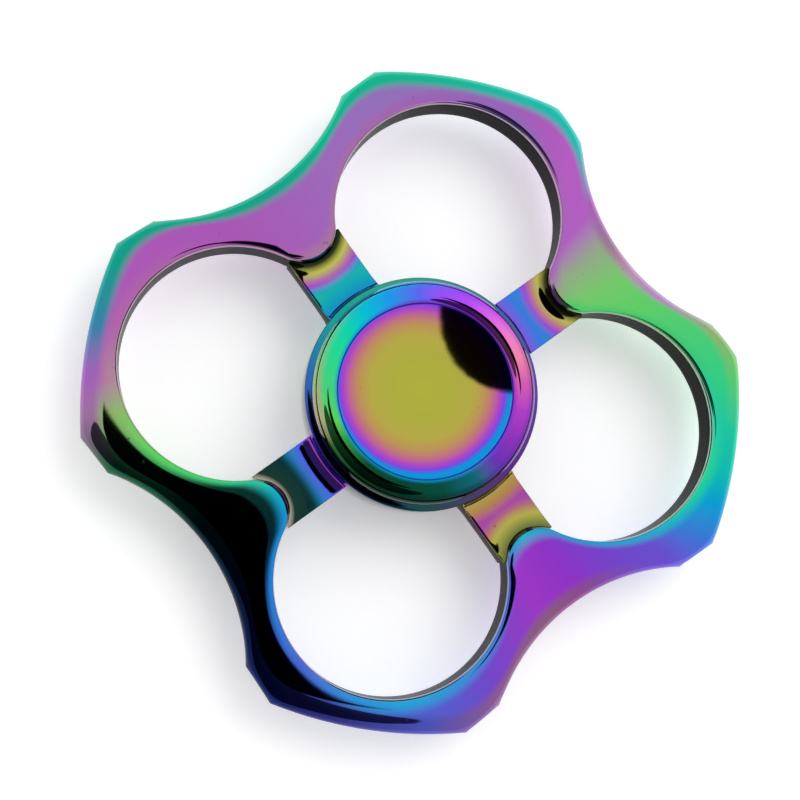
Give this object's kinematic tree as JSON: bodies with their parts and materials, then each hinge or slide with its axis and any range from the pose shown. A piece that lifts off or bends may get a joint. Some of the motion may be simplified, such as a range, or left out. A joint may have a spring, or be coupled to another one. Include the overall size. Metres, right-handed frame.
{
  "type": "fidget spinner",
  "caption": "Four-lobed metal fidget spinner with round finger openings, turning on a ball bearing between two dished finger caps.",
  "frame": {"origin": "centre of the ball bearing, on the spin axis and halfway through the frame's thickness", "axes": "+Z along the spin axis out of the upper finger cap; the lobes point along +X, -X, +Y and -Y, and the spokes run on the diagonals"},
  "size_m": [0.0754, 0.0754, 0.013],
  "materials": {
    "rainbow_frame": "mirror polish with an iridescent coating",
    "rainbow_cap": "mirror polish with an iridescent coating",
    "bearing_steel": "ground and polished",
    "pressed_steel": "pressed sheet and wire",
    "black_steel": "black oxide"
  },
  "bodies": {
    "caps": {"finger_cap_upper": "rainbow_cap", "finger_cap_lower": "rainbow_cap", "joining_grub_screw": "black_steel", "bearing_inner_ring": "bearing_steel"},
    "spinner": {"spinner_frame": "rainbow_frame", "bearing_outer_ring": "bearing_steel", "shield_upper": "pressed_steel", "shield_lower": "pressed_steel", "snap_ring_upper": "pressed_steel", "snap_ring_lower": "pressed_steel"},
    "cage": {"cage_upper_half": "pressed_steel", "cage_lower_half": "pressed_steel", "cage_rivets": "pressed_steel"},
    "ball_1_body": {"ball_1": "bearing_steel"},
    "ball_2_body": {"ball_2": "bearing_steel"},
    "ball_3_body": {"ball_3": "bearing_steel"},
    "ball_4_body": {"ball_4": "bearing_steel"},
    "ball_5_body": {"ball_5": "bearing_steel"},
    "ball_6_body": {"ball_6": "bearing_steel"},
    "ball_7_body": {"ball_7": "bearing_steel"}
  },
  "joints": [
    {"name": "frame_spin", "type": "hinge", "parent": "caps", "child": "spinner", "pos_m": [0, 0, 0], "axis": [0, 0, 1], "continuous": true},
    {"name": "cage_spin", "type": "hinge", "parent": "caps", "child": "cage", "pos_m": [0, 0, 0], "axis": [0, 0, 1], "continuous": true},
    {"name": "ball_1_roll", "type": "hinge", "parent": "cage", "child": "ball_1_body", "pos_m": [0.0075, 0, 0], "axis": [0, 0, 1], "continuous": true},
    {"name": "ball_2_roll", "type": "hinge", "parent": "cage", "child": "ball_2_body", "pos_m": [0.00468, 0.00586, 0], "axis": [0, 0, 1], "continuous": true},
    {"name": "ball_3_roll", "type": "hinge", "parent": "cage", "child": "ball_3_body", "pos_m": [-0.00167, 0.00731, 0], "axis": [0, 0, 1], "continuous": true},
    {"name": "ball_4_roll", "type": "hinge", "parent": "cage", "child": "ball_4_body", "pos_m": [-0.00676, 0.00325, 0], "axis": [0, 0, 1], "continuous": true},
    {"name": "ball_5_roll", "type": "hinge", "parent": "cage", "child": "ball_5_body", "pos_m": [-0.00676, -0.00325, 0], "axis": [0, 0, 1], "continuous": true},
    {"name": "ball_6_roll", "type": "hinge", "parent": "cage", "child": "ball_6_body", "pos_m": [-0.00167, -0.00731, 0], "axis": [0, 0, 1], "continuous": true},
    {"name": "ball_7_roll", "type": "hinge", "parent": "cage", "child": "ball_7_body", "pos_m": [0.00468, -0.00586, 0], "axis": [0, 0, 1], "continuous": true}
  ],
  "couplings": [
    {"joint": "cage_spin", "follows": "frame_spin", "ratio": 0.6323},
    {"joint": "ball_1_roll", "follows": "frame_spin", "ratio": 1.7573},
    {"joint": "ball_2_roll", "follows": "frame_spin", "ratio": 1.7573},
    {"joint": "ball_3_roll", "follows": "frame_spin", "ratio": 1.7573},
    {"joint": "ball_4_roll", "follows": "frame_spin", "ratio": 1.7573},
    {"joint": "ball_5_roll", "follows": "frame_spin", "ratio": 1.7573},
    {"joint": "ball_6_roll", "follows": "frame_spin", "ratio": 1.7573},
    {"joint": "ball_7_roll", "follows": "frame_spin", "ratio": 1.7573}
  ]
}
